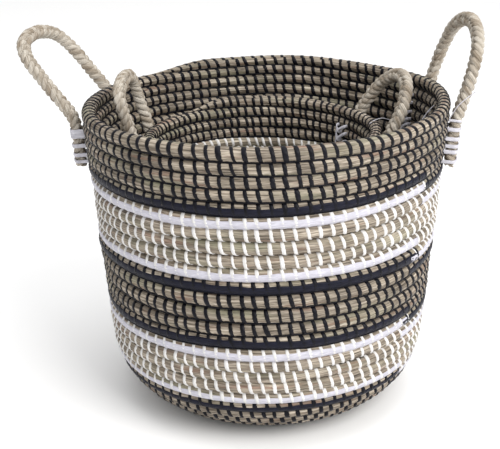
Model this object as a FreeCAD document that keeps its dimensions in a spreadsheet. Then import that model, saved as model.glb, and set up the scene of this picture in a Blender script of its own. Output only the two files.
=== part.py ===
import FreeCAD, Part
import Sketcher
import math
import os

from FreeCAD import Placement, Rotation, Vector

# Two coiled seagrass baskets, the smaller one standing inside the larger one.
# Each basket is one long round bundle of grass laid in turns, or rows, and sewn
# row to row with flat strands. The rows are counted from the rim down: row 0 is
# the rim. Each basket has two plaited rope handles whose ends, the feet, are
# lashed to the outside of the wall. Millimetres, +Z up, -Y to the front, and
# the origin at the middle of the outer basket's flat underside.

document = FreeCAD.newDocument("nested_baskets")
sheet = document.addObject("Spreadsheet::Sheet", "Sizes")

SIZES = {
    # the grass bundle, its rows and its sewing strands
    "strand_half_thickness": 1.2,
    "strip_thickness": 0.8,
    "strip_bite": 0.1,
    "strip_low_angle": -44,
    "strip_high_angle": 8,
    # outer basket: each row of the wall is smaller than the one above by the taper
    "outer_centre": 0,
    "outer_row_pitch": 14.2,
    "outer_coil_half_thickness": 7.3,
    "outer_strand_seat": 4.5,
    "outer_floor_row_height": 7.5,
    "outer_slab_margin": 6.4,
    "outer_base_height": 0,
    "outer_rim_radius": 192.9,
    "outer_rim_height": 337.4,
    "outer_taper": 1.2,
    "outer_taper_ease": 0,
    "outer_wall_rows": 18,
    "outer_corner_rows": 9,
    "outer_floor_rows": 6,
    "outer_corner_radius": 80,
    "outer_corner_centre": 91.8,
    "outer_corner_start": 4.08,
    "outer_corner_step": 10.17,
    "outer_floor_first": 83.96,
    "outer_foot_lean": 4.8,
    # inner basket: smaller, of a finer coil, standing a little left of the middle
    # on the outer floor; its taper eases off with depth
    "inner_centre": -4.5,
    "inner_row_pitch": 12.2,
    "inner_coil_half_thickness": 6.3,
    "inner_strand_seat": 3.9,
    "inner_floor_row_height": 6.5,
    "inner_slab_margin": 5.4,
    "inner_base_height": 15,
    "inner_rim_radius": 125.4,
    "inner_rim_height": 302.4,
    "inner_taper": 0.988,
    "inner_taper_ease": 0.0244,
    "inner_wall_rows": 19,
    "inner_corner_rows": 7,
    "inner_floor_rows": 5,
    "inner_corner_radius": 55,
    "inner_corner_centre": 60.4,
    "inner_corner_start": 6.15,
    "inner_corner_step": 12.71,
    "inner_floor_first": 55.5,
    "inner_foot_lean": 3.6,
    # plaited rope, its lashed feet and their lashings
    "rope_width": 17,
    "rope_thickness": 13,
    "knuckle_length": 12,
    "knuckle_gap": 0.3,
    "foot_below_rim": 71,
    "lashing_thickness": 1.2,
    "lashing_slack": 0.1,
    "first_lashing_height": 10,
    "other_lashing_height": 4.6,
    "first_lashing_drop": 34,
    "second_lashing_drop": 46.5,
    "third_lashing_drop": 58,
    "fourth_lashing_drop": 65.6,
    # the four handles: where their feet stand, how far they lean out, how tall
    # the loop is, the two numbers that give its outline, how far its bend lies
    # below the rim and from the axis, how far the foot stands inside the bend,
    # how much higher than usual the lashings are, and how far they reach inward
    "outer_left_front_angle": 177.3,
    "outer_left_rear_angle": 148.6,
    "outer_left_lean": 41,
    "outer_left_loop": 103.5,
    "outer_left_swell": 0.48,
    "outer_left_shoulder": 0.54,
    "outer_left_drop": 14.7,
    "outer_left_hinge_radius": 214.2,
    "outer_left_foot_offset": 0.6,
    "outer_left_lashing_rise": 0,
    "outer_left_lashing_reach": 31.5,
    "outer_right_front_angle": -8.8,
    "outer_right_rear_angle": 24.2,
    "outer_right_lean": 17.1,
    "outer_right_loop": 96.1,
    "outer_right_swell": 0.07,
    "outer_right_shoulder": 0.53,
    "outer_right_drop": 9.5,
    "outer_right_hinge_radius": 208.4,
    "outer_right_foot_offset": 2.4,
    "outer_right_lashing_rise": 7,
    "outer_right_lashing_reach": 24.5,
    "inner_left_front_angle": 196.7,
    "inner_left_rear_angle": 157,
    "inner_left_lean": 16.4,
    "inner_left_loop": 71.5,
    "inner_left_swell": 0.84,
    "inner_left_shoulder": 0.51,
    "inner_left_drop": 8.4,
    "inner_left_hinge_radius": 139.9,
    "inner_left_foot_offset": 1.4,
    "inner_left_lashing_rise": 0,
    "inner_left_lashing_reach": 24.5,
    "inner_right_front_angle": -1.8,
    "inner_right_rear_angle": 35.9,
    "inner_right_lean": 31.5,
    "inner_right_loop": 65.5,
    "inner_right_swell": -0.12,
    "inner_right_shoulder": 0.71,
    "inner_right_drop": 4,
    "inner_right_hinge_radius": 139.9,
    "inner_right_foot_offset": 1.4,
    "inner_right_lashing_rise": 0,
    "inner_right_lashing_reach": 24.5,
}

for line, (alias, value) in enumerate(SIZES.items(), start=1):
    sheet.set(f"A{line}", alias.replace("_", " "))
    sheet.set(f"B{line}", str(value))
    sheet.setAlias(f"B{line}", alias)
document.recompute()

subparts = []


def size(alias):
    """The value of a named cell of the sheet."""
    return float(sheet.get(alias))


def subpart(item, label):
    """Keep an object as one of the object's own named pieces."""
    item.Label = label
    subparts.append(item)
    return item


def row_places(basket):
    """Expressions for the radius and height of each row's centre, rim first."""
    wall = []
    for row in range(int(size(f"{basket}_wall_rows"))):
        radius = (
            f"Sizes.{basket}_rim_radius - Sizes.{basket}_taper * {row}"
            f" + Sizes.{basket}_taper_ease * {row * row}"
        )
        height = f"Sizes.{basket}_rim_height - Sizes.{basket}_row_pitch * {row}"
        wall.append((radius, height))
    corner = []
    for row in range(int(size(f"{basket}_corner_rows"))):
        angle = f"Sizes.{basket}_corner_start + Sizes.{basket}_corner_step * {row}"
        radius = f"Sizes.{basket}_corner_centre + Sizes.{basket}_corner_radius * cos({angle})"
        height = (
            f"Sizes.{basket}_base_height + Sizes.{basket}_floor_row_height"
            f" + Sizes.{basket}_corner_radius * (1 - sin({angle}))"
        )
        corner.append((radius, height))
    floor = []
    for row in range(int(size(f"{basket}_floor_rows"))):
        radius = f"Sizes.{basket}_floor_first - Sizes.{basket}_row_pitch * {row}"
        height = f"Sizes.{basket}_base_height + Sizes.{basket}_floor_row_height"
        floor.append((radius, height))
    return wall, corner, floor


def torus(name, basket, radius, height, thickness):
    """A ring about the basket's axis, placed and sized by expressions."""
    ring = document.addObject("Part::Torus", name)
    ring.setExpression("Radius1", radius)
    ring.setExpression("Radius2", thickness)
    ring.setExpression("Placement.Base.x", f"Sizes.{basket}_centre")
    ring.setExpression("Placement.Base.z", height)
    return ring


def fused(name, pieces):
    """One solid made of overlapping pieces."""
    whole = document.addObject("Part::MultiFuse", name)
    whole.Shapes = pieces
    whole.Refine = False
    return whole


def grouped(name, pieces):
    """Separate solids kept together as one piece of the object."""
    group = document.addObject("Part::Compound", name)
    group.Links = pieces
    return group


def make_coil(basket):
    """The grass bundle: wall rows with the turned corner, and the floor rows."""
    wall, corner, floor = row_places(basket)
    rows = []
    thickness = f"Sizes.{basket}_coil_half_thickness"
    for number, (radius, height) in enumerate(wall + corner + floor):
        rows.append(torus(f"{basket}_row_{number:02d}", basket, radius, height, thickness))
    upright = len(wall) + len(corner)
    subpart(fused(f"{basket}_wall_turns", rows[:upright]), f"{basket}_wall_coil")

    # the floor turns are pressed flat below, so they share a thin flat slab
    slab = document.addObject("Part::Cylinder", f"{basket}_floor_slab")
    slab.setExpression("Radius", f"Sizes.{basket}_floor_first + Sizes.{basket}_slab_margin")
    slab.setExpression("Height", f"Sizes.{basket}_floor_row_height")
    slab.setExpression("Placement.Base.x", f"Sizes.{basket}_centre")
    slab.setExpression("Placement.Base.z", f"Sizes.{basket}_base_height")
    middle = document.addObject("Part::Sphere", f"{basket}_floor_middle")
    middle.setExpression("Radius", thickness)
    middle.setExpression("Placement.Base.x", f"Sizes.{basket}_centre")
    middle.setExpression(
        "Placement.Base.z", f"Sizes.{basket}_base_height + Sizes.{basket}_floor_row_height"
    )
    turns = fused(f"{basket}_floor_turns", [slab, middle] + rows[upright:])
    last = document.getObject(rows[upright - 1].Name)
    edge = torus(
        f"{basket}_floor_edge",
        basket,
        f"{last.Name}.Radius1",
        f"{last.Name}.Placement.Base.z",
        thickness,
    )
    disc = document.addObject("Part::Cut", f"{basket}_floor_disc")
    disc.Base = turns
    disc.Tool = edge
    subpart(disc, f"{basket}_floor_coil")
    return rows, upright


def make_stitching(basket, rows, upright, zones):
    """Sewing strands as rings seated in the grooves between rows, one piece a colour."""
    for label, first, last in zones:
        rings = []
        for row in range(first, min(last, len(rows) - 1)):
            above = rows[row].Name
            below = rows[row + 1].Name
            middle_radius = f"({above}.Radius1 + {below}.Radius1) / 2"
            middle_height = f"({above}.Placement.Base.z + {below}.Placement.Base.z) / 2"
            pitch = f"Sizes.{basket}_row_pitch"
            seat = f"Sizes.{basket}_strand_seat"
            fall = f"({above}.Placement.Base.z - {below}.Placement.Base.z) / {pitch}"
            run = f"({below}.Radius1 - {above}.Radius1) / {pitch}"
            sides = [("out", "+"), ("in", "-")]
            if row >= upright - 1:
                sides = [("in", "-")]
            for side, sign in sides:
                rings.append(
                    torus(
                        f"{basket}_strand_{row:02d}_{side}",
                        basket,
                        f"{middle_radius} {sign} {seat} * {fall}",
                        f"{middle_height} {sign} {seat} * {run}",
                        "Sizes.strand_half_thickness",
                    )
                )
        subpart(grouped(f"{basket}_{label}_rings", rings), f"{basket}_{label}")


def make_strips(basket, rows, strips):
    """Laid strips: thin bands held against the lower half of one row's outer face."""
    for label, row in strips:
        ring = rows[row]
        centre = Vector(ring.Radius1.Value, ring.Placement.Base.z, 0)
        thickness = size(f"{basket}_coil_half_thickness")
        inner = thickness - size("strip_bite")
        outer = thickness + size("strip_thickness")
        low = math.radians(size("strip_low_angle"))
        high = math.radians(size("strip_high_angle"))
        body = document.addObject("PartDesign::Body", f"{basket}_strip_{row:02d}")
        outline = body.newObject("Sketcher::SketchObject", f"{basket}_strip_outline_{row:02d}")
        outline.AttachmentSupport = [(origin_plane(body, "XZ_Plane"), "")]
        outline.MapMode = "FlatFace"
        about = Vector(0, 0, 1)
        near = outline.addGeometry(Part.ArcOfCircle(Part.Circle(centre, about, inner), low, high))
        far = outline.addGeometry(Part.ArcOfCircle(Part.Circle(centre, about, outer), low, high))
        ends = []
        for place, angle in ((1, low), (2, high)):
            ray = Vector(math.cos(angle), math.sin(angle), 0)
            end = outline.addGeometry(Part.LineSegment(centre + ray * inner, centre + ray * outer))
            outline.addConstraint(Sketcher.Constraint("Coincident", end, 1, near, place))
            outline.addConstraint(Sketcher.Constraint("Coincident", end, 2, far, place))
            ends.append(end)
        outline.addConstraint(Sketcher.Constraint("Coincident", near, 3, far, 3))
        for kind, geometry, value, formula in (
            ("Radius", near, inner, f"Sizes.{basket}_coil_half_thickness - Sizes.strip_bite"),
            ("Radius", far, outer, f"Sizes.{basket}_coil_half_thickness + Sizes.strip_thickness"),
        ):
            number = outline.addConstraint(Sketcher.Constraint(kind, geometry, value))
            outline.setExpression(f"Constraints[{number}]", formula)
        for kind, value, formula in (
            ("DistanceX", centre.x, f"{ring.Name}.Radius1"),
            ("DistanceY", centre.y, f"{ring.Name}.Placement.Base.z"),
        ):
            number = outline.addConstraint(Sketcher.Constraint(kind, -1, 1, near, 3, value))
            outline.setExpression(f"Constraints[{number}]", formula)
        band = body.newObject("PartDesign::Revolution", f"{basket}_strip_band_{row:02d}")
        band.Profile = outline
        band.ReferenceAxis = (outline, ["V_Axis"])
        band.Angle = 360
        body.Placement = Placement(Vector(size(f"{basket}_centre"), 0, 0), Rotation())
        subpart(body, f"{basket}_{label}")


def origin_plane(body, role):
    """One of a body's own origin planes, found by its role."""
    for feature in body.Origin.OriginFeatures:
        if feature.Role == role:
            return feature
    raise ValueError(role)


def foot_places(basket, side):
    """The angles of a handle's two feet."""
    handle = f"{basket}_{side}"
    return [(end, size(f"{handle}_{end}_angle")) for end in ("front", "rear")]


def foot_frame(basket, side, angle):
    """A frame that leans with the wall: origin at the foot's top, +Z up, +X outward."""
    handle = f"{basket}_{side}"
    radius = size(f"{handle}_hinge_radius") - size(f"{handle}_foot_offset")
    top = (
        size(f"{basket}_rim_height")
        - size(f"{handle}_drop")
        - size("rope_thickness") / 2
        - size("knuckle_gap")
    )
    about = math.radians(angle)
    turn = Rotation(Vector(0, 0, 1), angle) * Rotation(
        Vector(0, 1, 0), size(f"{basket}_foot_lean")
    )
    across = size(f"{basket}_centre") + radius * math.cos(about)
    return Placement(Vector(across, radius * math.sin(about), top), turn)


def make_foot(basket, side, end, angle):
    """The end of a rope handle: a straight length of plait held flat on the wall."""
    handle = f"{basket}_{side}"
    body = document.addObject("PartDesign::Body", f"{handle}_{end}_foot_body")
    outline = body.newObject("Sketcher::SketchObject", f"{handle}_{end}_foot_outline")
    outline.AttachmentSupport = [(origin_plane(body, "XY_Plane"), "")]
    outline.MapMode = "FlatFace"
    half_thickness = size("rope_thickness") / 2
    half_width = size("rope_width") / 2 - half_thickness
    # two straight sides joined by round ends, longer across than through
    near = outline.addGeometry(
        Part.LineSegment(
            Vector(-half_thickness, -half_width, 0), Vector(-half_thickness, half_width, 0)
        )
    )
    far = outline.addGeometry(
        Part.LineSegment(
            Vector(half_thickness, half_width, 0), Vector(half_thickness, -half_width, 0)
        )
    )
    right = outline.addGeometry(
        Part.ArcOfCircle(
            Part.Circle(Vector(0, half_width, 0), Vector(0, 0, 1), half_thickness),
            0,
            math.pi,
        )
    )
    left = outline.addGeometry(
        Part.ArcOfCircle(
            Part.Circle(Vector(0, -half_width, 0), Vector(0, 0, 1), half_thickness),
            math.pi,
            2 * math.pi,
        )
    )
    add = Sketcher.Constraint
    outline.addConstraint(add("Tangent", far, 1, right, 1))
    outline.addConstraint(add("Tangent", right, 2, near, 2))
    outline.addConstraint(add("Tangent", near, 1, left, 1))
    outline.addConstraint(add("Tangent", left, 2, far, 2))
    outline.addConstraint(add("Vertical", near))
    outline.addConstraint(add("Symmetric", right, 3, left, 3, -1, 1))
    spacing = outline.addConstraint(add("DistanceY", left, 3, right, 3, 2 * half_width))
    round_end = outline.addConstraint(add("Radius", right, half_thickness))
    outline.setExpression(f"Constraints[{spacing}]", "Sizes.rope_width - Sizes.rope_thickness")
    outline.setExpression(f"Constraints[{round_end}]", "Sizes.rope_thickness / 2")

    length = body.newObject("PartDesign::Pad", f"{handle}_{end}_foot_length")
    length.Profile = outline
    length.setExpression(
        "Length",
        f"Sizes.foot_below_rim - Sizes.{handle}_lashing_rise"
        f" - Sizes.{handle}_drop - Sizes.rope_thickness / 2",
    )
    length.Reversed = True
    body.Placement = foot_frame(basket, side, angle)
    subpart(body, f"{handle}_{end}_foot")


def make_lashings(basket, side, end, angle):
    """Four flat cords round the foot and through the wall, the top one the widest."""
    handle = f"{basket}_{side}"
    frame = foot_frame(basket, side, angle)
    top_drop = f"Sizes.{handle}_drop + Sizes.rope_thickness / 2 + Sizes.knuckle_gap"
    cords = []
    for number, order in enumerate(("first", "second", "third", "fourth")):
        height = "Sizes.first_lashing_height"
        if number:
            height = "Sizes.other_lashing_height"
        low = (
            f"{top_drop} - Sizes.{order}_lashing_drop"
            f" + Sizes.{handle}_lashing_rise - {height} / 2"
        )
        name = f"{handle}_{end}_{order}_cord"
        outside = document.addObject("Part::Box", f"{name}_outside")
        opening = document.addObject("Part::Box", f"{name}_opening")
        reach = f"Sizes.{handle}_lashing_reach"
        cord = "Sizes.lashing_thickness"
        slack = "Sizes.lashing_slack"
        outside.setExpression("Length", f"{reach} + Sizes.rope_thickness / 2 + {slack} + {cord}")
        outside.setExpression("Width", f"Sizes.rope_width + 2 * {slack} + 2 * {cord}")
        outside.setExpression("Height", height)
        outside.setExpression("Placement.Base.x", f"-{reach}")
        outside.setExpression("Placement.Base.y", f"-Sizes.rope_width / 2 - {slack} - {cord}")
        outside.setExpression("Placement.Base.z", low)
        opening.setExpression("Length", f"{reach} + Sizes.rope_thickness / 2 + {slack} - {cord}")
        opening.setExpression("Width", f"Sizes.rope_width + 2 * {slack}")
        opening.setExpression("Height", f"{height} * 2")
        opening.setExpression("Placement.Base.x", f"-{reach} + {cord}")
        opening.setExpression("Placement.Base.y", f"-Sizes.rope_width / 2 - {slack}")
        opening.setExpression("Placement.Base.z", f"{low} - {height} / 2")
        loop = document.addObject("Part::Cut", name)
        loop.Base = outside
        loop.Tool = opening
        cords.append(loop)
    group = grouped(f"{handle}_{end}_cords", cords)
    group.Placement = frame
    subpart(group, f"{handle}_{end}_lashings")


def loop_points(width, tall, swell, shoulder, steps):
    """The loop's centre line in its own plane: x across the feet, y up the loop."""
    points = []
    for step in range(steps + 1):
        turn = math.pi * step / steps
        rise = math.sin(turn)
        across = width / 2 - width / 2 * math.cos(turn) * (1 + swell * rise * rise)
        points.append(Vector(across, tall * max(rise, 0.0) ** shoulder, 0))
    return points


def make_loop(basket, side):
    """The free loop of rope, swept along its outline, with a round knuckle at each foot."""
    handle = f"{basket}_{side}"
    feet = []
    for end, angle in foot_places(basket, side):
        about = math.radians(angle)
        radius = size(f"{handle}_hinge_radius")
        feet.append(Vector(radius * math.cos(about), radius * math.sin(about), 0))
    across = feet[1] - feet[0]
    width = across.Length
    across.normalize()
    middle = (feet[0] + feet[1]) / 2
    outward = Vector(middle.x, middle.y, 0)
    outward.normalize()
    lean = math.radians(size(f"{handle}_lean"))
    upward = outward * math.sin(lean) + Vector(0, 0, 1) * math.cos(lean)
    facing = across.cross(upward)

    points = loop_points(
        width,
        size(f"{handle}_loop"),
        size(f"{handle}_swell"),
        size(f"{handle}_shoulder"),
        24,
    )
    # the ends leave their feet straight, so the first and last bends are dropped
    points = [points[0]] + points[2:-2] + [points[-1]]
    line = Part.BSplineCurve()
    line.interpolate(points)
    spine = Part.Wire([line.toShape()])
    start = line.tangent(line.FirstParameter)[0]
    section = Part.Ellipse(
        Vector(0, 0, 0), size("rope_width") / 2, size("rope_thickness") / 2
    ).toShape()
    sideways = Vector(-start.y, start.x, 0)
    seat = Placement(points[0], Rotation(sideways, Vector(0, 0, 1), start, "XYZ"))
    section.Placement = seat
    sweep = Part.BRepOffsetAPI.MakePipeShell(spine)
    sweep.setBiNormalMode(Vector(0, 0, 1))
    sweep.add(Part.Wire([section]))
    sweep.build()
    sweep.makeSolid()
    rope = sweep.shape()
    half = size("knuckle_length") / 2
    knuckles = []
    for place in (points[0], points[-1]):
        knuckles.append(
            Part.makeCylinder(
                size("rope_thickness") / 2 - size("knuckle_gap") / 2,
                2 * half,
                place - Vector(half, 0, 0),
                Vector(1, 0, 0),
            )
        )
    whole = rope.fuse(knuckles)
    item = document.addObject("Part::Feature", f"{handle}_rope_loop")
    item.Shape = whole
    height = size(f"{basket}_rim_height") - size(f"{handle}_drop")
    base = feet[0] + Vector(size(f"{basket}_centre"), 0, height)
    item.Placement = Placement(base, Rotation(across, upward, facing, "XYZ"))
    subpart(item, f"{handle}_handle_loop")


def make_handle(basket, side):
    """A handle: its free loop, its two lashed feet and their lashings."""
    make_loop(basket, side)
    for end, angle in foot_places(basket, side):
        make_foot(basket, side, end, angle)
        make_lashings(basket, side, end, angle)


OUTER_ZONES = [
    ("black_stitches_rim", 0, 5),
    ("white_stitches_high", 5, 10),
    ("black_stitches_middle", 10, 15),
    ("white_stitches_low", 15, 20),
    ("black_stitches_base", 20, 33),
]
OUTER_STRIPS = [
    ("black_strip_1", 4),
    ("white_strip_1", 5),
    ("white_strip_2", 9),
    ("black_strip_2", 10),
    ("black_strip_3", 14),
    ("white_strip_3", 15),
    ("white_strip_4", 19),
    ("black_strip_4", 20),
]
INNER_ZONES = [
    ("black_stitches_rim", 0, 4),
    ("white_stitches_high", 4, 9),
    ("black_stitches_middle", 9, 14),
    ("white_stitches_low", 14, 19),
    ("black_stitches_base", 19, 31),
]
INNER_STRIPS = [
    ("black_strip_1", 3),
    ("white_strip_1", 4),
    ("white_strip_2", 8),
    ("black_strip_2", 9),
    ("black_strip_3", 13),
    ("white_strip_3", 14),
    ("white_strip_4", 18),
    ("black_strip_4", 19),
]

for basket, zones, strips in (
    ("outer", OUTER_ZONES, OUTER_STRIPS),
    ("inner", INNER_ZONES, INNER_STRIPS),
):
    rows, upright = make_coil(basket)
    document.recompute()
    make_stitching(basket, rows, upright, zones)
    make_strips(basket, rows, strips)
    make_handle(basket, "left")
    make_handle(basket, "right")

document.recompute()

for item in document.Objects:
    if "Invalid" in item.State or "Error" in item.State:
        raise RuntimeError(f"{item.Name} did not recompute")
for item in subparts:
    if item.Shape.isNull() or not item.Shape.isValid():
        raise RuntimeError(f"{item.Label} has no valid shape")
    if not item.Shape.Solids:
        raise RuntimeError(f"{item.Label} has no solid")

os.makedirs("parts", exist_ok=True)
for item in subparts:
    item.Shape.exportStep(os.path.join("parts", f"{item.Label}.step"))
    box = item.Shape.BoundBox
    print(
        f"{item.Label}: {len(item.Shape.Solids)} solids,"
        f" {item.Shape.Volume / 1000:.1f} cm3,"
        f" z {box.ZMin:.1f} to {box.ZMax:.1f}"
    )
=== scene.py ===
import math

import bpy
import numpy as np
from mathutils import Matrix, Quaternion, Vector


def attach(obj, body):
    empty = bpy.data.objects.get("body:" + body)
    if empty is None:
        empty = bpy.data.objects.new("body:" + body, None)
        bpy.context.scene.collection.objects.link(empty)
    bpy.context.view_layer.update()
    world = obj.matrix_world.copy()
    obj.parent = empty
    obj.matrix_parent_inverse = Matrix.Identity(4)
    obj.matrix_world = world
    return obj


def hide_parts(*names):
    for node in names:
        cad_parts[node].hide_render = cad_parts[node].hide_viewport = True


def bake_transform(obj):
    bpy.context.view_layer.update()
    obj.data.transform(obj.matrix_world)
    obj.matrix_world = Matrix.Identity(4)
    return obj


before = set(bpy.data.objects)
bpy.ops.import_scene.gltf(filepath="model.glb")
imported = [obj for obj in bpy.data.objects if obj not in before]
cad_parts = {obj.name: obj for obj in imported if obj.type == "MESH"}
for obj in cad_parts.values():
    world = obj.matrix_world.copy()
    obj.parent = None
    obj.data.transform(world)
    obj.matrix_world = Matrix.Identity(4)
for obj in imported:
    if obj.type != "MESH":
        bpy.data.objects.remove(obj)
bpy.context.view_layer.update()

# Two coiled seagrass baskets, the smaller standing in the larger one. Sizes are
# in millimetres here and are turned into metres when a mesh is made.
MM = 0.001
TAU = 2 * math.pi
RAD = math.pi / 180

BULGE = 0.5             # how much fatter the bundle is between stitches
PINCH = 0.15            # how much thinner it is where a stitch holds it
STITCH_SLANT = 4.2      # how far a stitch moves along the bundle over one face
STITCH_HOOK = 2.0       # how much further it moves at the end of a face
STATIONS = 5            # mesh steps along the bundle for each stitch
AROUND = 11             # mesh steps round the bundle
TIP_LENGTH = 0.08       # the part of a turn over which the coil thins out at the rim
TIP_THICKNESS = 0.10    # how thick the very tip is, as a part of the bundle
UPPER_ROWS = 10         # how many rows are drawn tight below the rim
THREAD_SIZE = 0.5       # half thickness of a loose thread

# Per basket: the centre's place along X, the row pitch, the half thickness of the
# bundle where a stitch holds it, the height of the floor rows, and the stitches'
# spacing and widths. The wall leans in by taper for each row down, a little less
# with each row by ease, and turns into the floor round a corner.
#
# The coil is one spiral: it ends at tip_angle, in degrees, on the rim and is counted
# in turns from there. rows_up is how far above the plain rim row it starts, in rows.
# Row heights are a little uneven, by amounts in millimetres. The upper rows, most
# of all the fifth, are drawn up by tight_front all round, by tight_rear more at the
# rear and by tight_right more at the right, and are slack_left lower at the left.
# The ten rows below them are let down, by slack_middle and by slack_low, which ends
# a little further down. rim_dip is about how far the rim sinks at the rear.
#
# A zone is a label, a colour, its first and last row, the stitches in each turn and
# the CAD nodes that its sewing stands for. The colours change colour_change of a
# turn past each whole turn. A strip is a label, a colour and a row. foot_lean is
# how many degrees the handles' feet lean out.
BASKETS = {
    "outer": {
        "centre": 0.0,
        "pitch": 14.2,
        "coil": 7.05,
        "floor_height": 7.5,
        "stitch_pitch": 12.6,
        "stitch_width": {"black": 4.9, "white": 4.1},
        "base": 0.0,
        "rim_radius": 192.9,
        "rim_height": 337.4,
        "taper": 1.2,
        "ease": 0.0,
        "corner_radius": 80.0,
        "corner_centre": 91.8,
        "tip_angle": 138.0,
        "rows_up": 0.634,
        "tight_front": 0.8,
        "tight_rear": 7.7,
        "tight_right": 4.5,
        "slack_left": 5.5,
        "slack_middle": 2.0,
        "slack_low": 4.5,
        "colour_change": 0.478,
        "rim_dip": 3.4,
        "zones": [
            ("black_rim", "black", 0.0, 5, 98, ["black_stitches_rim"]),
            ("white_high", "white", 5, 10, 96, ["white_stitches_high"]),
            ("black_middle", "black", 10, 15, 94, ["black_stitches_middle"]),
            ("white_low", "white", 15, 20, 92, ["white_stitches_low"]),
            ("black_base", "black", 20, None, 88, ["black_stitches_base"]),
        ],
        "strips": [
            ("black_strip_1", "black", 4),
            ("white_strip_1", "white", 5),
            ("white_strip_2", "white", 9),
            ("black_strip_2", "black", 10),
            ("black_strip_3", "black", 14),
            ("white_strip_3", "white", 15),
            ("white_strip_4", "white", 19),
            ("black_strip_4", "black", 20),
        ],
        "foot_lean": 4.8,
    },
    "inner": {
        "centre": -4.5,
        "pitch": 12.2,
        "coil": 6.05,
        "floor_height": 6.5,
        "stitch_pitch": 9.9,
        "stitch_width": {"black": 4.1, "white": 3.6},
        "base": 15.0,
        "rim_radius": 125.4,
        "rim_height": 302.4,
        "taper": 0.988,
        "ease": 0.0244,
        "corner_radius": 55.0,
        "corner_centre": 60.4,
        "tip_angle": 135.0,
        "rows_up": 0.455,
        "tight_front": 0.0,
        "tight_rear": 0.0,
        "tight_right": 0.0,
        "slack_left": 0.0,
        "slack_middle": 0.0,
        "slack_low": 0.0,
        "colour_change": 0.0,
        "rim_dip": 0.0,
        "zones": [
            ("black_rim", "black", 0.0, 4, 80, ["black_stitches_rim"]),
            ("white_high", "white", 4, 9, 78, ["white_stitches_high"]),
            ("black_middle", "black", 9, 14, 77, ["black_stitches_middle"]),
            ("white_low", "white", 14, 19, 76, ["white_stitches_low"]),
            ("black_base", "black", 19, None, 74, ["black_stitches_base"]),
        ],
        "strips": [
            ("black_strip_1", "black", 3),
            ("white_strip_1", "white", 4),
            ("white_strip_2", "white", 8),
            ("black_strip_2", "black", 9),
            ("black_strip_3", "black", 13),
            ("white_strip_3", "white", 14),
            ("white_strip_4", "white", 18),
            ("black_strip_4", "black", 19),
        ],
        "foot_lean": 3.6,
    },
}

# Lashings as (depth below the rim, height, tilt) of each flat turn of cord.
USUAL_LASHINGS = [
    (31.6, 5.4, 0.0), (36.9, 5.2, 0.03), (47.8, 4.5, 0.0), (58.4, 4.2, 0.02), (64.0, 3.6, -0.2),
]
OUTER_RIGHT_LASHINGS = [
    (14.6, 2.8, -0.2), (22.4, 4.2, 0.03), (33.0, 4.4, 0.0),
    (41.3, 4.0, 0.02), (47.4, 4.4, 0.0), (57.4, 3.8, 0.2),
]
INNER_RIGHT_LASHINGS = [
    (13.0, 4.2, 0.0), (21.0, 4.2, 0.03), (31.0, 4.2, 0.0), (43.0, 4.2, 0.02), (57.0, 4.0, -0.1),
]

# Each handle: the angles of its feet and how far it leans out, in degrees, the
# loop's height, its swell and shoulder, how far its bend lies below the rim and
# from the axis, how far the foot stands inside the bend, how far below the rim the
# foot ends, its lashings, how far inside the foot's middle the wall's inner face
# lies, and whether the cords cross there.
HANDLES = {
    ("outer", "left"): dict(
        front=177.3, rear=148.6, lean=41.0, loop=103.5, swell=0.48, shoulder=0.54,
        drop=14.7, hinge_radius=214.2, foot_offset=2.8, foot_depth=72.0,
        lashings=USUAL_LASHINGS, inside=29.6, crossed=False,
    ),
    ("outer", "right"): dict(
        front=-8.8, rear=24.2, lean=17.1, loop=96.1, swell=0.07, shoulder=0.53,
        drop=9.5, hinge_radius=208.4, foot_offset=2.4, foot_depth=65.0,
        lashings=OUTER_RIGHT_LASHINGS, inside=24.8, crossed=True,
    ),
    ("inner", "left"): dict(
        front=196.7, rear=157.0, lean=16.4, loop=71.5, swell=0.84, shoulder=0.51,
        drop=8.4, hinge_radius=139.9, foot_offset=1.4, foot_depth=71.0,
        lashings=USUAL_LASHINGS, inside=24.0, crossed=False,
    ),
    ("inner", "right"): dict(
        front=-1.8, rear=35.9, lean=31.5, loop=65.5, swell=-0.12, shoulder=0.71,
        drop=4.0, hinge_radius=139.9, foot_offset=1.4, foot_depth=71.0,
        lashings=INNER_RIGHT_LASHINGS, inside=24.0, crossed=True,
    ),
}
ROPE_WIDTH = 15.6
ROPE_THICKNESS = 12.4
PLAIT_PERIOD = 22.5     # the length over which a strand swings across and back
STRAND = 3.65           # half thickness of each of the rope's three strands
FOOT_TOP = 6.8          # how far below the bend the straight foot begins


# ---------------------------------------------------------------- materials

def node_material(name):
    """A new material, its node tree and its shader."""
    material = bpy.data.materials.new(name)
    material.use_nodes = True
    tree = material.node_tree
    shader = tree.nodes["Principled BSDF"]
    return material, tree, shader


def add_node(tree, kind, **settings):
    """A new node with its settings made."""
    node = tree.nodes.new(kind)
    for key, value in settings.items():
        setattr(node, key, value)
    return node


def grain(tree, scale, detail=2.0, roughness=0.5, distortion=0.0):
    """Noise laid along the strand: the mesh's own grain map, in metres, scaled."""
    source = add_node(tree, "ShaderNodeUVMap", uv_map="grain")
    stretch = add_node(tree, "ShaderNodeMapping")
    stretch.inputs["Scale"].default_value = (scale[0], scale[1], 1.0)
    noise = add_node(tree, "ShaderNodeTexNoise")
    noise.inputs["Scale"].default_value = 1.0
    noise.inputs["Detail"].default_value = detail
    noise.inputs["Roughness"].default_value = roughness
    noise.inputs["Distortion"].default_value = distortion
    tree.links.new(source.outputs["UV"], stretch.inputs["Vector"])
    tree.links.new(stretch.outputs["Vector"], noise.inputs["Vector"])
    return noise.outputs["Fac"]


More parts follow.
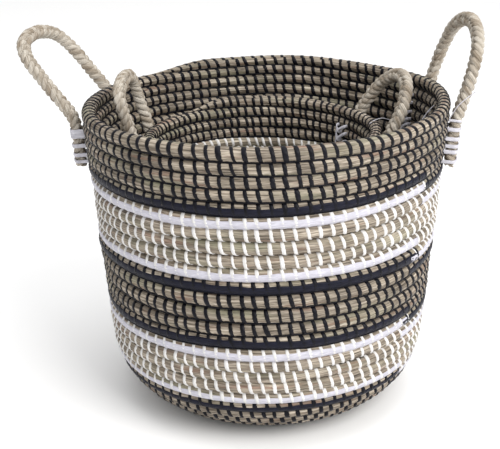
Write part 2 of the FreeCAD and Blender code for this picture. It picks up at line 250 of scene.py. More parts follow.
def ramp(tree, value, stops):
    """Colour from a value, through stops of a place and a colour."""
    node = add_node(tree, "ShaderNodeValToRGB")
    elements = node.color_ramp.elements
    while len(elements) > 1:
        elements.remove(elements[-1])
    elements[0].position = stops[0][0]
    elements[0].color = (*stops[0][1], 1.0)
    for place, colour in stops[1:]:
        element = elements.new(place)
        element.color = (*colour, 1.0)
    tree.links.new(value, node.inputs["Fac"])
    return node.outputs["Color"]


def mix(tree, factor, first, second, blend="MIX"):
    """Mix two colours; factor, first and second are sockets or plain values."""
    node = add_node(tree, "ShaderNodeMix", data_type="RGBA", blend_type=blend)
    for socket, value in ((0, factor), (6, first), (7, second)):
        if hasattr(value, "links"):
            tree.links.new(value, node.inputs[socket])
        elif socket == 0:
            node.inputs[0].default_value = value
        else:
            node.inputs[socket].default_value = (*value, 1.0)
    return node.outputs[2]


def bump(tree, shader, height, strength, distance):
    """Relief from a value; distance is in metres."""
    node = add_node(tree, "ShaderNodeBump")
    node.inputs["Strength"].default_value = strength
    node.inputs["Distance"].default_value = distance
    tree.links.new(height, node.inputs["Height"])
    tree.links.new(node.outputs["Normal"], shader.inputs["Normal"])


def grass_material():
    """Dry seagrass: long blades side by side, olive, straw and reddish brown."""
    material, tree, shader = node_material("seagrass")
    blades = grain(tree, (22.0, 520.0), detail=3.0, roughness=0.6)
    fine = grain(tree, (60.0, 1500.0), detail=2.0, roughness=0.6)
    broad = grain(tree, (14.0, 70.0), detail=2.0)
    ruddy = grain(tree, (17.0, 130.0), detail=2.0, distortion=0.4)
    green = grain(tree, (8.0, 50.0), detail=1.0)
    colour = ramp(tree, blades, [
        (0.30, (0.050, 0.039, 0.028)),
        (0.42, (0.170, 0.142, 0.108)),
        (0.54, (0.325, 0.283, 0.226)),
        (0.70, (0.560, 0.505, 0.425)),
    ])
    shade = ramp(tree, broad, [(0.30, (0.55, 0.53, 0.52)), (0.70, (1.15, 1.13, 1.12))])
    colour = mix(tree, 1.0, colour, shade, "MULTIPLY")
    reddish = ramp(tree, ruddy, [(0.57, (0.0, 0.0, 0.0)), (0.74, (0.70, 0.70, 0.70))])
    colour = mix(tree, reddish, colour, (0.200, 0.110, 0.075))
    greenish = ramp(tree, green, [(0.52, (0.0, 0.0, 0.0)), (0.72, (0.55, 0.55, 0.55))])
    colour = mix(tree, greenish, colour, (0.235, 0.235, 0.155))
    speck = ramp(tree, fine, [
        (0.34, (0.36, 0.34, 0.33)),
        (0.48, (1.0, 1.0, 1.0)),
        (0.74, (1.25, 1.22, 1.18)),
    ])
    colour = mix(tree, 0.85, colour, speck, "MULTIPLY")
    tree.links.new(colour, shader.inputs["Base Color"])
    shader.inputs["Roughness"].default_value = 0.62
    shader.inputs["Specular IOR Level"].default_value = 0.35
    bump(tree, shader, blades, 0.7, 0.0009)
    return material


def strand_material(name, dark, light, roughness, specular, streak):
    """A flat sewing strand with fine streaks along it; streak is how dark they get."""
    material, tree, shader = node_material(name)
    streaks = grain(tree, (110.0, 1900.0), detail=2.0, roughness=0.6)
    slow = grain(tree, (70.0, 160.0), detail=1.0)
    colour = ramp(tree, streaks, [(0.32, dark), (0.66, light)])
    tone = ramp(tree, slow, [(0.3, (streak, streak, streak)), (0.7, (1.0, 1.0, 1.0))])
    colour = mix(tree, 1.0, colour, tone, "MULTIPLY")
    tree.links.new(colour, shader.inputs["Base Color"])
    shader.inputs["Roughness"].default_value = roughness
    shader.inputs["Specular IOR Level"].default_value = specular
    bump(tree, shader, streaks, 0.5, 0.0004)
    return material


def rope_material():
    """Plaited plant-fibre rope: beige fibre streaks, whose darkest browns are painted shade of the
    twist's hollows, laid by noise along the fibres.
    """
    material, tree, shader = node_material("plaited_rope")
    fibres = grain(tree, (55.0, 1300.0), detail=3.0, roughness=0.65, distortion=0.2)
    patch = grain(tree, (45.0, 90.0), detail=2.0)
    # fibre streaks; the darkest browns at the low end are painted shade
    colour = ramp(tree, fibres, [
        (0.28, (0.150, 0.120, 0.088)),
        (0.43, (0.330, 0.295, 0.245)),
        (0.58, (0.520, 0.485, 0.430)),
        (0.78, (0.700, 0.670, 0.615)),
    ])
    tone = ramp(tree, patch, [(0.34, (0.52, 0.44, 0.36)), (0.60, (1.06, 1.05, 1.04))])
    colour = mix(tree, 0.8, colour, tone, "MULTIPLY")
    tree.links.new(colour, shader.inputs["Base Color"])
    shader.inputs["Roughness"].default_value = 0.8
    shader.inputs["Specular IOR Level"].default_value = 0.2
    bump(tree, shader, fibres, 0.8, 0.0008)
    return material


MATERIALS = {
    "grass": grass_material(),
    "black": strand_material(
        "black_strand", dark=(0.002, 0.002, 0.003), light=(0.011, 0.011, 0.018),
        roughness=0.36, specular=0.12, streak=0.5,
    ),
    "white": strand_material(
        "white_strand", dark=(0.56, 0.55, 0.54), light=(0.80, 0.79, 0.78),
        roughness=0.5, specular=0.3, streak=0.85,
    ),
    "white_laid": strand_material(
        "white_laid_strip", dark=(0.42, 0.41, 0.47), light=(0.62, 0.61, 0.68),
        roughness=0.5, specular=0.3, streak=0.85,
    ),
    "black_laid": strand_material(
        "black_laid_strip", dark=(0.003, 0.003, 0.008), light=(0.014, 0.015, 0.030),
        roughness=0.45, specular=0.12, streak=0.7,
    ),
    "rope": rope_material(),
    "cord": strand_material(
        "white_cord", dark=(0.44, 0.43, 0.49), light=(0.72, 0.71, 0.76),
        roughness=0.6, specular=0.3, streak=0.8,
    ),
}


# ---------------------------------------------------------------- mesh tools

def quad_piece(name, points, quads, grain_map, finish):
    """A smooth mesh of quads, given in millimetres, with its grain map in metres."""
    points = np.asarray(points, float) * MM
    quads = np.asarray(quads, np.int32)
    mesh = bpy.data.meshes.new(name)
    mesh.vertices.add(len(points))
    mesh.vertices.foreach_set("co", points.astype(np.float32).ravel())
    mesh.loops.add(quads.size)
    mesh.loops.foreach_set("vertex_index", quads.ravel())
    mesh.polygons.add(len(quads))
    mesh.polygons.foreach_set("loop_start", np.arange(0, quads.size, 4, dtype=np.int32))
    mesh.update(calc_edges=True)
    mesh.polygons.foreach_set("use_smooth", np.ones(len(quads), bool))
    layer = mesh.uv_layers.new(name="grain")
    corners = (np.asarray(grain_map, float) * MM).astype(np.float32)[quads.ravel()]
    layer.data.foreach_set("uv", corners.ravel())
    mesh.validate()
    mesh.materials.append(MATERIALS[finish])
    piece = bpy.data.objects.new(name, mesh)
    bpy.context.scene.collection.objects.link(piece)
    return piece


def grain_grid(along, across, shape):
    """The grain map of a grid of that shape: places along and across the grain."""
    return np.stack([np.broadcast_to(along, shape), np.broadcast_to(across, shape)], axis=-1)


def grid_quads(count, rows, columns, closed):
    """Faces of count separate grids of points; closed joins each grid's columns round."""
    last = columns if closed else columns - 1
    i, j = np.meshgrid(np.arange(rows - 1), np.arange(last), indexing="ij")
    a = i * columns + j
    b = i * columns + (j + 1) % columns
    one = np.stack([a, b, b + columns, a + columns], axis=-1).reshape(-1, 4)
    shift = np.arange(count)[:, None, None] * rows * columns
    return (one[None] + shift).reshape(-1, 4)


def one_grid(points, grain_map, closed):
    """One grid of points as a piece's points, faces and grain map."""
    rows, columns = points.shape[:2]
    return points.reshape(-1, 3), grid_quads(1, rows, columns, closed), grain_map.reshape(-1, 2)


def joined(grids):
    """Several grids as one mesh."""
    points, quads, maps, offset = [], [], [], 0
    for p, q, g in grids:
        points.append(p)
        quads.append(q + offset)
        maps.append(g)
        offset += len(p)
    return np.concatenate(points), np.concatenate(quads), np.concatenate(maps)


def smooth_step(value):
    """A soft change from 0 to 1 as the value goes from 0 to 1."""
    value = np.clip(value, 0.0, 1.0)
    return value * value * (3 - 2 * value)


# ---------------------------------------------------------------- the coil

def hump(angle, middle):
    """A smooth rise round a place on the rim, about a third as high 24 degrees away."""
    away = np.abs((angle - middle * RAD + math.pi) % TAU - math.pi)
    return np.exp(-((away / (24 * RAD)) ** 2))


def tip_taper(turn):
    """The bundle thins out over its last part of a turn on the rim."""
    return TIP_THICKNESS + (1 - TIP_THICKNESS) * smooth_step(turn / TIP_LENGTH)


def wall_length(basket):
    """Length of the wall's outline from the plain rim row to the turned corner."""
    return basket["rim_height"] - basket["base"] - basket["floor_height"] - basket["corner_radius"]


def row_length(basket, row, angle):
    """The length down the wall to a row, and a factor for the bundle's thickness there."""
    pitch = basket["pitch"]
    tight = basket["tight_front"] + basket["tight_rear"] * ((1 + np.sin(angle)) / 2) ** 2
    tight = tight + basket["tight_right"] * hump(angle, -35) - basket["slack_left"] * hump(angle, 176)
    tight = np.where(row < UPPER_ROWS, tight, basket["slack_middle"])
    uneven = row < 2 * UPPER_ROWS
    wave = math.pi / UPPER_ROWS
    lift = np.where(uneven, tight * np.sin(wave * row), 0.0)
    change = np.where(uneven, tight * wave * np.cos(wave * row), 0.0)
    slack = smooth_step((row - UPPER_ROWS) / 4) * (1 - smooth_step((row - 14.5) / 8))
    return row * pitch - lift + basket["slack_low"] * slack, 1 - change / pitch


def outline(basket, length):
    """The even wall, corner and floor at a length from the rim: radius, height, way down.

    The way down is a direction along the outline, as its radial and its upright part.
    """
    corner = basket["corner_radius"]
    past_wall = length - wall_length(basket)
    in_corner = past_wall > 0
    even_row = length / basket["pitch"]
    wall_radius = basket["rim_radius"] - basket["taper"] * even_row + basket["ease"] * even_row ** 2
    wall_height = basket["rim_height"] - length
    wall_slope = (-basket["taper"] + 2 * basket["ease"] * even_row) / basket["pitch"]
    bend = np.clip(past_wall / corner, 0, math.pi / 2)
    floor_run = np.maximum(past_wall - corner * math.pi / 2, 0)
    low_radius = basket["corner_centre"] + corner * np.cos(bend) - floor_run
    low_height = basket["base"] + basket["floor_height"] + corner * (1 - np.sin(bend))
    fall_r = np.where(in_corner, -np.sin(bend), wall_slope)
    fall_z = np.where(in_corner, -np.cos(bend), -1.0)
    size = np.hypot(fall_r, fall_z)
    radius = np.where(in_corner, low_radius, wall_radius)
    height = np.where(in_corner, low_height, wall_height)
    return radius, height, fall_r / size, fall_z / size


def centre_line(basket, turn):
    """The bundle's middle: its angle, radius, height, way down and thickness as a factor."""
    row = turn - basket["rows_up"]
    angle = basket["tip_angle"] * RAD - TAU * turn
    length, fatness = row_length(basket, row, angle)
    radius, height, fall_r, fall_z = outline(basket, length)
    # the wall is sewn by hand, so it is a little uneven
    free = 1 - smooth_step((length - wall_length(basket) + 30) / 80)
    radius = radius + free * (
        0.7 * np.sin(2 * angle + 0.7)
        + 0.5 * np.sin(5 * angle + 1.3 + 0.9 * row)
        + 0.3 * np.sin(11 * angle + 2.1 * row)
    )
    height = height + free * (
        0.5 * np.sin(3 * angle + 2.1 + 1.7 * row) + 0.3 * np.sin(8 * angle + 2.9 * row)
    )
    # the rim dips a little at the rear, to the left and the right of its middle
    rear = basket["rim_dip"] * np.exp(-np.maximum(row, 0) / 7) * free
    height = height - rear * (1.35 * hump(angle, 112) + 0.8 * hump(angle, 50))
    # towards its tip the bundle thins out and settles onto the row below
    thin = tip_taper(turn)
    height = height - (1 - thin) * basket["coil"]
    return angle, radius, height, fall_r, fall_z, thin * fatness


def from_middle(basket, line, around, reach, level):
    """Angle, radius and height of points at a reach from the bundle's middle.

    around is 0 outward and 90 degrees to the row above. No point lies lower than
    the level above the basket's underside.
    """
    angle, radius, height, fall_r, fall_z, thick = line
    across = np.cos(around)
    toward = np.sin(around)
    r = radius + reach * thick * (-across * fall_z - toward * fall_r)
    z = height + reach * thick * (across * fall_r - toward * fall_z)
    return angle, r, np.maximum(z, basket["base"] + level)


def in_space(basket, angle, r, z):
    """Points in space from an angle round the basket, a radius and a height."""
    return np.stack([basket["centre"] + r * np.cos(angle), r * np.sin(angle), z], axis=-1)


def on_coil(basket, turn, around, reach):
    """Points on the bundle at some turns and places round it."""
    return in_space(basket, *from_middle(basket, centre_line(basket, turn), around, reach, 0.3))


def slant(around):
    """How far along the bundle a stitch has moved, in millimetres, at a place round it."""
    down = (math.pi / 2 - around) / math.pi
    hook = smooth_step((down - 0.72) / 0.28) + smooth_step((down - 1.72) / 0.28)
    return STITCH_SLANT * down + STITCH_HOOK * hook


def stitch_turns(basket, first, last, per_turn):
    """The turns at which stitches stand: even in angle on the wall, even in length below it."""
    least_radius = 6.0
    spacing = basket["stitch_pitch"] * 0.96
    wall_end = wall_length(basket) - 2 * basket["pitch"]
    turns = [first]
    while turns[-1] < last:
        turn = turns[-1]
        step = 1 / per_turn
        if (turn - basket["rows_up"]) * basket["pitch"] > wall_end:
            outer_radius = float(centre_line(basket, np.array(turn))[1]) + 4.0
            step = max(step, spacing / (TAU * max(outer_radius, least_radius)))
        turns.append(turn + step)
    return np.array(turns)


def last_turn(basket):
    """The turn at which the spiral ends, a third of a row short of the floor's middle."""
    run = wall_length(basket) + basket["corner_radius"] * math.pi / 2 + basket["corner_centre"]
    return run / basket["pitch"] + basket["rows_up"] - 0.35


def path_length(basket, turns):
    """Length along the bundle, in millimetres, at each of some increasing turns.

    It starts at about the length of the turns before, so the grain doesn't repeat.
    """
    usual_radius = 150.0
    radius = centre_line(basket, turns)[1]
    steps = np.diff(turns) * TAU * (radius[1:] + radius[:-1]) / 2
    return np.concatenate([[0.0], np.cumsum(steps)]) + turns[0] * TAU * usual_radius


def mesh_steps(places):
    """The mesh steps between some stitches, counted in stitches and in turns."""
    count = len(places)
    position = np.arange((count - 1) * STATIONS + 1) / STATIONS
    return position, np.interp(position, np.arange(count), places)


def swelling(basket, position, around, bulge):
    """How far the bundle's face is from its middle: pinched at each stitch, fat between."""
    phase = position[:, None] - slant(around) / basket["stitch_pitch"]
    open_part = np.abs(np.sin(math.pi * phase)) ** 0.55
    return basket["coil"] - PINCH + (bulge + PINCH) * open_part


def coil_piece(name, basket, places):
    """The grass bundle of one zone, round all its stitches."""
    position, turns = mesh_steps(places)
    around = np.linspace(math.pi, -math.pi, AROUND + 1)
    shape = (len(turns), len(around))
    lumps = 0.22 * np.sin(position * 5.1)[:, None] * np.cos(around * 3 + position[:, None] * 0.7)
    reach = swelling(basket, position, around, BULGE) + lumps
    points = on_coil(
        basket, np.broadcast_to(turns[:, None], shape), np.broadcast_to(around, shape), reach
    )
    length = path_length(basket, turns)
    grain_map = grain_grid(length[:, None], around * basket["coil"], shape)
    return quad_piece(name, *one_grid(points, grain_map, False), "grass")


def stitch_grid(basket, places, start, stop, rng, width):
    """Flat strands over one face of the bundle, one grid for each stitch."""
    # the strand's section: places across its width, and how far each one stands up
    profile = np.array([-0.5, -0.36, 0.0, 0.36, 0.5])
    raised = np.array([-0.45, 0.30, 0.52, 0.30, -0.45])
    steps = 16 if abs(stop - start) > math.pi else 8
    around = np.linspace(start, stop, steps)
    count = len(places)
    radius = centre_line(basket, places)[1]
    shake = rng.normal(0, 0.5, count)
    widths = width * (1 + rng.normal(0, 0.10, count)) * (0.5 + 0.5 * tip_taper(places))
    lean = rng.normal(0, 0.45, count)
    height = 0.45 + rng.normal(0, 0.06, count)
    down = (start - around) / (start - stop) - 0.5
    narrow = 1 - 0.20 * np.abs(down * 2) ** 3
    along = (
        slant(around)[None, :, None]
        + shake[:, None, None]
        + (lean[:, None] * down[None, :] * 2)[:, :, None]
        + widths[:, None, None] * narrow[None, :, None] * profile[None, None, :]
    )
    turns = places[:, None, None] - along / (TAU * radius[:, None, None])
    turns = np.maximum(turns, 0.0)
    grid_around = np.broadcast_to(around[None, :, None], turns.shape)
    reach = (basket["coil"] + height)[:, None, None] + raised[None, None, :]
    points = on_coil(basket, turns, grid_around, np.broadcast_to(reach, turns.shape))
    # each stitch has its grain from another place
    number = np.arange(count)[:, None, None]
    grain_map = grain_grid(
        (around * basket["coil"])[None, :, None] + number * 37.0,
        profile * width + number * 11.0,
        turns.shape,
    )
    quads = grid_quads(count, steps, len(profile), False)
    return points.reshape(-1, 3), quads, grain_map.reshape(-1, 2)


def stitch_piece(name, basket, places, finish, rng):
    """The sewing of one colour zone, outside and inside, over the top on the rim row."""
    # where a stitch begins and ends round the bundle, on the outer and the inner face
    high, low = 78 * RAD, -92 * RAD
    inner_high, inner_low = -102 * RAD, -268 * RAD
    # the first turn is bound right round, so its two faces overlap over the free top
    rim_high, inner_rim_low = 140 * RAD, -225 * RAD
    width = basket["stitch_width"][finish]
    rim = places < 1.0
    wall = places[~rim]
    grids = []
    if rim.any():
        grids.append(stitch_grid(basket, places[rim], rim_high, low, rng, width))
        grids.append(stitch_grid(basket, places[rim], inner_high, inner_rim_low, rng, width))
    if len(wall):
        grids.append(stitch_grid(basket, wall, high, low, rng, width))
        grids.append(stitch_grid(basket, wall, inner_high, inner_low, rng, width))
    return quad_piece(name, *joined(grids), finish)


def groove_piece(name, basket, first, last, finish, per_turn):
    """Two thin strands, outside and inside, in the groove under each black row: partly the sewing
    strand, partly painted shade that darkens the groove.
    """
    steps = int((last - first) * per_turn * 2)
    turns = np.linspace(first, last, max(steps, 2))
    section = np.linspace(0, TAU, 6, endpoint=False)
    length = path_length(basket, turns)
    line = centre_line(basket, turns)
    reach = basket["coil"] + 0.95 + 0.12 * np.sin(turns * math.pi * per_turn)
    thickness = 0.95 + 0.15 * np.sin(turns * 97.0)
    grids = []
    for around in (-57 * RAD, -123 * RAD):
        angle, r, z = from_middle(basket, line, around, reach, 1.4)
        r = r[:, None] + thickness[:, None] * np.cos(section)
        z = z[:, None] + thickness[:, None] * np.sin(section)
        points = in_space(basket, angle[:, None], r, z)
        grids.append(one_grid(points, grain_grid(length[:, None], section, r.shape), True))
    return quad_piece(name, *joined(grids), finish)


def strip_piece(name, basket, places, finish):
    """A flat strip laid along the lower part of one row's outer face, under the stitches."""
    position, turns = mesh_steps(places)
    # places across the strip, as angles round the bundle, and how far each stands up
    around = np.array([-78, -70, -50, -28, -6, 14, 25, 28]) * RAD
    raised = np.array([-0.1, 0.40, 0.50, 0.50, 0.50, 0.46, 0.36, -0.2])
    # its upper edge wanders a little
    edge = 3.0 * RAD * np.sin(position * 1.9) + 3.0 * RAD * np.sin(position * 0.63 + 1.0)
    grid_around = around + edge[:, None] * (around > 0)
    reach = swelling(basket, position, grid_around, BULGE * 0.8) + raised
    points = on_coil(basket, np.broadcast_to(turns[:, None], reach.shape), grid_around, reach)
    length = path_length(basket, turns)
    grain_map = grain_grid(length[:, None], around * basket["coil"], reach.shape)
    return quad_piece(name, *one_grid(points, grain_map, False), finish)


def make_basket(key):
    """One basket's coil, sewing, groove strands that are partly painted shade, and laid strips."""
    basket = BASKETS[key]
    body = f"{key}_basket"
    end = last_turn(basket)
    change = basket["colour_change"]
    coils = []
    for number, (label, finish, first, last, per_turn, nodes) in enumerate(basket["zones"]):
        start = 0.0 if number == 0 else first + change
        stop = end if last is None else last + change
        places = stitch_turns(basket, start, stop, per_turn)
        coil = coil_piece(f"{key}_coil_{label}", basket, places)
        coils.append(coil)
        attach(coil, body)
        seed = number + (110 if key == "inner" else 100)
        rng = np.random.default_rng(seed)
        sewing = stitch_piece(f"{key}_stitches_{label}", basket, places[:-1], finish, rng)
        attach(sewing, body)
        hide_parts(*[f"{key}_{node}" for node in nodes])
        if finish == "black":
            # a thin black strand in the groove: the sewing strand's path, and also painted shade that
            # deepens the groove
            name = f"{key}_groove_strand_{label}"
            lowest = min(stop, end - 1.0)
            groove = groove_piece(name, basket, start + 0.02, lowest, finish, per_turn)
            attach(groove, body)
    for coil in coils:
        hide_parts(f"{key}_wall_coil")
    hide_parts(f"{key}_floor_coil")
    for label, finish, row in basket["strips"]:
        per_turn = next(zone[4] for zone in basket["zones"] if zone[3] is None or row < zone[3])
        places = stitch_turns(basket, row + change, row + 1 + change, per_turn)
        strip = strip_piece(f"{key}_{label}_laid", basket, places, f"{finish}_laid")
        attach(strip, body)
        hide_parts(f"{key}_{label}")


# ---------------------------------------------------------------- handles

UPRIGHT = np.array([0, 0, 1.0])


def unit(v):
    """Each vector at length one."""
    return v / np.linalg.norm(v, axis=-1, keepdims=True)


def square_to(line, ways):
    """The directions turned square to a line, at each of its points."""
    return unit(ways - (ways * line).sum(1, keepdims=True) * line)


def blur(values, spread):
    """A line smoothed over some points to each side, with its two ends kept."""
    reach = int(spread * 3)
    kernel = np.exp(-0.5 * (np.arange(-reach, reach + 1) / spread) ** 2)
    kernel /= kernel.sum()
    first = 2 * values[0] - values[1:reach + 1][::-1]
    last = 2 * values[-1] - values[-reach - 1:-1][::-1]
    padded = np.concatenate([first, values, last])
    return np.stack([np.convolve(padded[:, i], kernel, mode="valid") for i in range(3)], axis=-1)


def lengths_along(points):
    """How far along a line each of its points is."""
    gaps = np.linalg.norm(np.diff(points, axis=0), axis=1)
    return np.concatenate([[0.0], np.cumsum(gaps)])


def read_at(places, lengths, values):
    """Points or directions at some places along a line."""
    return np.stack([np.interp(places, lengths, values[:, i]) for i in range(3)], axis=-1)


def resample(points, step):
    """Points an even step apart along a line, and how far along it each one is."""
    lengths = lengths_along(points)
    places = np.linspace(0, lengths[-1], int(lengths[-1] / step) + 1)
    return read_at(places, lengths, points), places


def repeated(way, line):
    """One direction, once for every point of a line."""
    return np.repeat(way[None], len(line), axis=0)


def bend_points(basket, spec):
    """The two places, front and rear, where the rope bends above its feet."""
    radius = spec["hinge_radius"]
    height = basket["rim_height"] - spec["drop"]
    axis = np.array([basket["centre"], 0.0, 0.0])
    points = []
    for end in ("front", "rear"):
        angle = spec[end] * RAD
        points.append(axis + np.array([radius * math.cos(angle), radius * math.sin(angle), height]))
    return points


def loop_axes(basket, spec, bends):
    """The loop's directions: from its front to its rear end, upward, and the flat side's."""
    across = unit(bends[1] - bends[0])
    middle = (bends[0] + bends[1]) / 2 - np.array([basket["centre"], 0.0, 0.0])
    outward = unit(np.array([middle[0], middle[1], 0.0]))
    lean = spec["lean"] * RAD
    upward = outward * math.sin(lean) + UPRIGHT * math.cos(lean)
    facing = outward * math.cos(lean) - UPRIGHT * math.sin(lean)
    return across, upward, facing


def foot_axes(basket, angle):
    """A foot's outward, sideways and upward directions; it leans with the wall."""
    lean = basket["foot_lean"] * RAD
    radial = np.array([math.cos(angle), math.sin(angle), 0.0])
    sideways = np.array([-math.sin(angle), math.cos(angle), 0.0])
    up = radial * math.sin(lean) + UPRIGHT * math.cos(lean)
    outward = radial * math.cos(lean) - UPRIGHT * math.sin(lean)
    return outward, sideways, up


def foot_point(basket, spec, angle, below_rim):
    """The middle of a foot's rope at a depth below the rim."""
    up = foot_axes(basket, angle)[2]
    top_radius = spec["hinge_radius"] - spec["foot_offset"]
    top_depth = spec["drop"] + FOOT_TOP
    top = in_space(basket, angle, top_radius, basket["rim_height"] - top_depth)
    return top - up * (below_rim - top_depth) / math.cos(basket["foot_lean"] * RAD)


def foot_line(basket, spec, end):
    """One foot's middle line, from its cut end up, and the way its flat side faces."""
    angle = spec[end] * RAD
    depths = np.linspace(spec["foot_depth"], spec["drop"] + FOOT_TOP, 24)
    line = np.array([foot_point(basket, spec, angle, depth) for depth in depths])
    outward = foot_axes(basket, angle)[0]
    return line, repeated(outward, line)


def rope_line(key, side):
    """The whole rope's middle line, foot to foot, and the way its flat side faces."""
    basket = BASKETS[key]
    spec = HANDLES[(key, side)]
    bends = bend_points(basket, spec)
    across, upward, facing = loop_axes(basket, spec, bends)
    width = np.linalg.norm(bends[1] - bends[0])
    turn = np.linspace(0.0, math.pi, 181)
    rise = np.sin(turn)
    sidestep = width / 2 - width / 2 * np.cos(turn) * (1 + spec["swell"] * rise * rise)
    climb = spec["loop"] * np.maximum(rise, 0) ** spec["shoulder"]
    loop = bends[0] + sidestep[:, None] * across + climb[:, None] * upward
    front, front_face = foot_line(basket, spec, "front")
    rear, rear_face = foot_line(basket, spec, "rear")
    corners = np.concatenate([front, loop, rear[::-1]])
    faces = np.concatenate([front_face, repeated(facing, loop), rear_face])
    points, places = resample(corners, 1.0)
    face = read_at(places, lengths_along(corners), faces)
    # smoothing turns the corner at each bend into a curve
    return blur(points, 6.0), unit(blur(face, 9.0)), places


def rope_piece(name, key, side):
    """Three strands plaited flat: each swings from side to side and over and under."""
    points, face, places = rope_line(key, side)
    tangent = unit(np.gradient(points, axis=0))
    face = square_to(tangent, face)
    sideways = np.cross(tangent, face)
    swing = ROPE_WIDTH / 2 - STRAND
    dip = ROPE_THICKNESS / 2 - STRAND * 0.95
    ring = np.linspace(0, TAU, 14, endpoint=False)
    grids = []
    for number in range(3):
        phase = places * TAU / PLAIT_PERIOD + number * TAU / 3
        middle = (
            points
            + sideways * (swing * np.sin(phase))[:, None]
            + face * (dip * np.sin(2 * phase))[:, None]
        )
        along = unit(np.gradient(middle, axis=0))
        out = square_to(along, face)
        beside = np.cross(along, out)
        # the strand's own fibres turn round it, and it is a little lumpy
        twist = places[:, None] * 0.33
        lumps = 1 + 0.055 * np.cos(3 * (ring + twist)) + 0.03 * np.cos(5 * ring - twist * 1.7)
        size = STRAND * lumps * (1 + 0.04 * np.sin(places * 0.21 + number))[:, None]
        tube = (
            middle[:, None, :]
            + out[:, None, :] * (size * np.cos(ring))[..., None]
            + beside[:, None, :] * (size * np.sin(ring))[..., None] * 1.06
        )
        # flat cut ends, square to the rope: the last three rings at each end
        for station in (0, 1, 2, -1, -2, -3):
            offset = ((tube[station] - points[station]) * tangent[station]).sum(-1, keepdims=True)
            tube[station] = tube[station] - offset * tangent[station]
        first_cap = middle[0] + (tube[:1] - middle[0]) * 0.05
        last_cap = middle[-1] + (tube[-1:] - middle[-1]) * 0.05
        tube = np.concatenate([first_cap, tube, last_cap])
        # the grain has a seam along the strand, and each strand has its own
        tube = np.concatenate([tube, tube[:, :1]], axis=1)
        turn = np.concatenate([ring, [TAU]]) * STRAND
        length = np.concatenate([[places[0]], places, [places[-1]]]) + 400 * number
        grain_map = grain_grid(length[:, None], turn + length[:, None] * 0.9, tube.shape[:2])
        grids.append(one_grid(tube, grain_map, False))
    return quad_piece(name, *joined(grids), "rope")


def band_grid(path, tall, thick, upward, rng):
    """A flat cord along a path: rounded section, its flat side along upward."""
    line, places = resample(np.asarray(path, float), 0.9)
    line = blur(line, 1.6)
    tangent = unit(np.gradient(line, axis=0))
    out = unit(np.cross(tangent, upward))
    rise = unit(np.cross(out, tangent))
    section = np.array([
        (-0.5, -0.3), (-0.5, 0.3), (-0.34, 0.62), (0.0, 0.72),
        (0.34, 0.62), (0.5, 0.3), (0.5, -0.3), (0.0, -0.4),
    ])
    wave = 1 + 0.05 * np.sin(places * 0.8 + rng.uniform(0, 6))
    points = (
        line[:, None, :]
        + rise[:, None, :] * (section[:, 0] * tall)[None, :, None] * wave[:, None, None]
        + out[:, None, :] * (section[:, 1] * thick)[None, :, None]
    )
    length = places[:, None] + rng.uniform(0, 500)
    grain_map = grain_grid(length, np.arange(len(section)) * 1.2, points.shape[:2])
    return one_grid(points, grain_map, True)


def lashing_piece(name, key, side, end):
    """White flat cords round a foot and into the wall; where crossed, they show inside."""
    basket = BASKETS[key]
    spec = HANDLES[(key, side)]
    angle = spec[end] * RAD
    outward, sideways, up = foot_axes(basket, angle)
    rng = np.random.default_rng(int(300 + spec[end]))
    half_width = ROPE_WIDTH / 2 + 0.9
    half_thick = ROPE_THICKNESS / 2 + 0.75
    inside = spec["inside"] + rng.uniform(-0.2, 0.2)
    grids = []
    holes = []
    for below, tall, tilt in spec["lashings"]:
        middle = foot_point(basket, spec, angle, below)
        tilt = tilt + rng.normal(0, 0.02)
        # out of the wall, round the rope as a squared oval, and into the wall again
        path = [(-14.5, -half_width + 0.8), (-8.0, -half_width - 0.1)]
        for step in np.linspace(-100, 100, 25):
            cosine = math.cos(step * RAD)
            sine = math.sin(step * RAD)
            x = half_thick * np.sign(cosine) * abs(cosine) ** 0.75
            y = half_width * np.sign(sine) * abs(sine) ** 0.75
            path.append((x, y))
        path += [(-8.0, half_width + 0.1), (-14.5, half_width - 0.8)]
        line = [middle + outward * x + sideways * y + up * tilt * y for x, y in path]
        grids.append(band_grid(line, tall, 1.15, up, rng))
        holes.append((middle, tilt * half_width))
    # on the wall's inside one cord slants from each hole to the next one down on the
    # other side, and one goes down on its own side
    crossings = len(holes) - 1 if spec["crossed"] else 0
    for number in range(crossings):
        first, rise = holes[number]
        second, drop = holes[number + 1]
        for hand in (-1, 1):
            y = hand * (half_width - 1.8)
            start = first + sideways * y + up * rise * hand
            end_point = second - sideways * y - up * drop * hand
            if hand > 0:
                end_point = second + sideways * (y - 4.0)
            line = [
                start - outward * (inside - 4.5),
                start - outward * (inside + 0.2),
                start * 0.67 + end_point * 0.33 - outward * (inside + 1.0 + 0.5 * hand),
                start * 0.33 + end_point * 0.67 - outward * (inside + 1.0 + 0.5 * hand),
                end_point - outward * (inside + 0.2),
                end_point - outward * (inside - 4.5),
            ]
            grids.append(band_grid(line, 3.6, 1.0, up, rng))
    return quad_piece(name, *joined(grids), "cord")


def thread_piece(name, body, runs, finish):
    """Loose ends: thin round threads, each smoothed along a few given points."""
    section = np.linspace(0, TAU, 6, endpoint=False)
    grids = []
    for points in runs:
        line, places = resample(np.asarray(points, float), 1.0)
        line = blur(line, 3.0)
        tangent = unit(np.gradient(line, axis=0))
        out = unit(np.cross(tangent, np.array([0.31, 0.52, 0.79])))
        beside = np.cross(tangent, out)
        tube = (
            line[:, None, :]
            + out[:, None, :] * np.cos(section)[None, :, None] * THREAD_SIZE
            + beside[:, None, :] * np.sin(section)[None, :, None] * THREAD_SIZE
        )
        grids.append(one_grid(tube, grain_grid(places[:, None], section, tube.shape[:2]), True))
    piece = quad_piece(name, *joined(grids), finish)
    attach(piece, body)


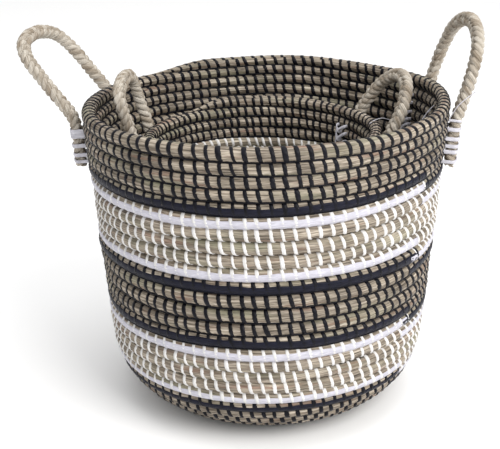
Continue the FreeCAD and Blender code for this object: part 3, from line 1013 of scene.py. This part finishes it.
def make_handle(key, side):
    """One handle's rope and its lashings."""
    body = f"{key}_basket"
    handle = f"{key}_{side}"
    rope = rope_piece(f"{handle}_plaited_handle", key, side)
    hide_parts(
        f"{handle}_handle_loop", f"{handle}_front_foot", f"{handle}_rear_foot"
    )
    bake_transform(rope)
    for end in ("front", "rear"):
        lashing = lashing_piece(f"{handle}_{end}_lashing_cords", key, side, end)
        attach(lashing, body)
        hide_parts(f"{handle}_{end}_lashings")


for key in BASKETS:
    make_basket(key)
for key, side in HANDLES:
    make_handle(key, side)
thread_piece("outer_loose_threads", "outer_basket", [
    [(196.0, -38.0, 326.0), (203.0, -41.5, 341.0), (212.0, -43.0, 350.0), (222.0, -42.0, 357.0)],
    [(186.0, 3.0, 331.0), (179.0, -3.0, 327.0), (172.0, -8.0, 319.0), (168.0, -10.0, 312.0)],
    [(184.0, 14.0, 322.0), (178.0, 8.0, 321.0), (175.0, 4.0, 313.0), (176.0, 1.0, 303.0)],
], "cord")
thread_piece("inner_loose_threads", "inner_basket", [
    [(116.0, 12.0, 308.0), (122.0, 16.0, 311.5), (131.0, 21.0, 312.5), (141.0, 27.0, 308.0)],
], "cord")


# ---------------------------------------------------------------- stage

def make_floor():
    """A plain pale studio floor."""
    size = 6.0
    corners = [(-size, -size, 0), (size, -size, 0), (size, size, 0), (-size, size, 0)]
    mesh = bpy.data.meshes.new("studio_floor")
    mesh.from_pydata(corners, [], [(0, 1, 2, 3)])
    floor = bpy.data.objects.new("studio_floor", mesh)
    bpy.context.scene.collection.objects.link(floor)
    material, _, shader = node_material("studio_floor")
    shader.inputs["Base Color"].default_value = (0.93, 0.93, 0.93, 1.0)
    shader.inputs["Roughness"].default_value = 0.9
    shader.inputs["Specular IOR Level"].default_value = 0.1
    mesh.materials.append(material)


def area_light(name, place, target, size, power, colour):
    """A square soft light that faces a target; places in metres, power in watts."""
    light = bpy.data.lights.new(name, "AREA")
    light.size = size
    light.energy = power
    light.color = colour
    lamp = bpy.data.objects.new(name, light)
    bpy.context.scene.collection.objects.link(lamp)
    lamp.location = place
    lamp.rotation_euler = (Vector(target) - Vector(place)).to_track_quat("-Z", "Y").to_euler()


def make_lights():
    """White light from all round, a soft key at the front right, and two from above."""
    world = bpy.data.worlds.new("studio")
    bpy.context.scene.world = world
    world.use_nodes = True
    back = world.node_tree.nodes["Background"]
    back.inputs["Color"].default_value = (1.0, 1.0, 1.0, 1.0)
    back.inputs["Strength"].default_value = 0.72
    target = (0, 0, 0.2)
    area_light("key", (1.3, -1.5, 1.7), target, 1.6, 52.0, (1.0, 0.985, 0.96))
    area_light("top", (0.1, 0.1, 2.4), target, 1.8, 14.0, (1.0, 1.0, 1.0))
    sky = bpy.data.lights.new("sky", "SUN")
    sky.energy = 0.75
    sky.angle = 1.6
    lamp = bpy.data.objects.new("sky", sky)
    bpy.context.scene.collection.objects.link(lamp)
    lamp.rotation_euler = Vector((-0.25, 0.35, -1.0)).to_track_quat("-Z", "Y").to_euler()


def make_camera():
    """The photograph's view: from the front, above the rim and looking a little down."""
    rim_height = 0.3374
    above_rim = 0.3316
    distance = 1.26
    camera = bpy.data.cameras.new("camera")
    camera.lens = 85.0
    camera.sensor_width = 36.0
    camera.sensor_fit = "HORIZONTAL"
    camera.clip_end = 50
    holder = bpy.data.objects.new("camera", camera)
    bpy.context.scene.collection.objects.link(holder)
    pitch = 20.64 * RAD
    roll = -0.74 * RAD
    forward = Vector((0, math.cos(pitch), -math.sin(pitch)))
    holder.location = (-0.0188, -distance, rim_height + above_rim)
    holder.rotation_mode = "QUATERNION"
    holder.rotation_quaternion = forward.to_track_quat("-Z", "Y") @ Quaternion((0, 0, 1), roll)
    bpy.context.scene.camera = holder


make_floor()
make_lights()
make_camera()
bpy.context.scene.view_settings.view_transform = "Standard"

bpy.context.view_layer.update()
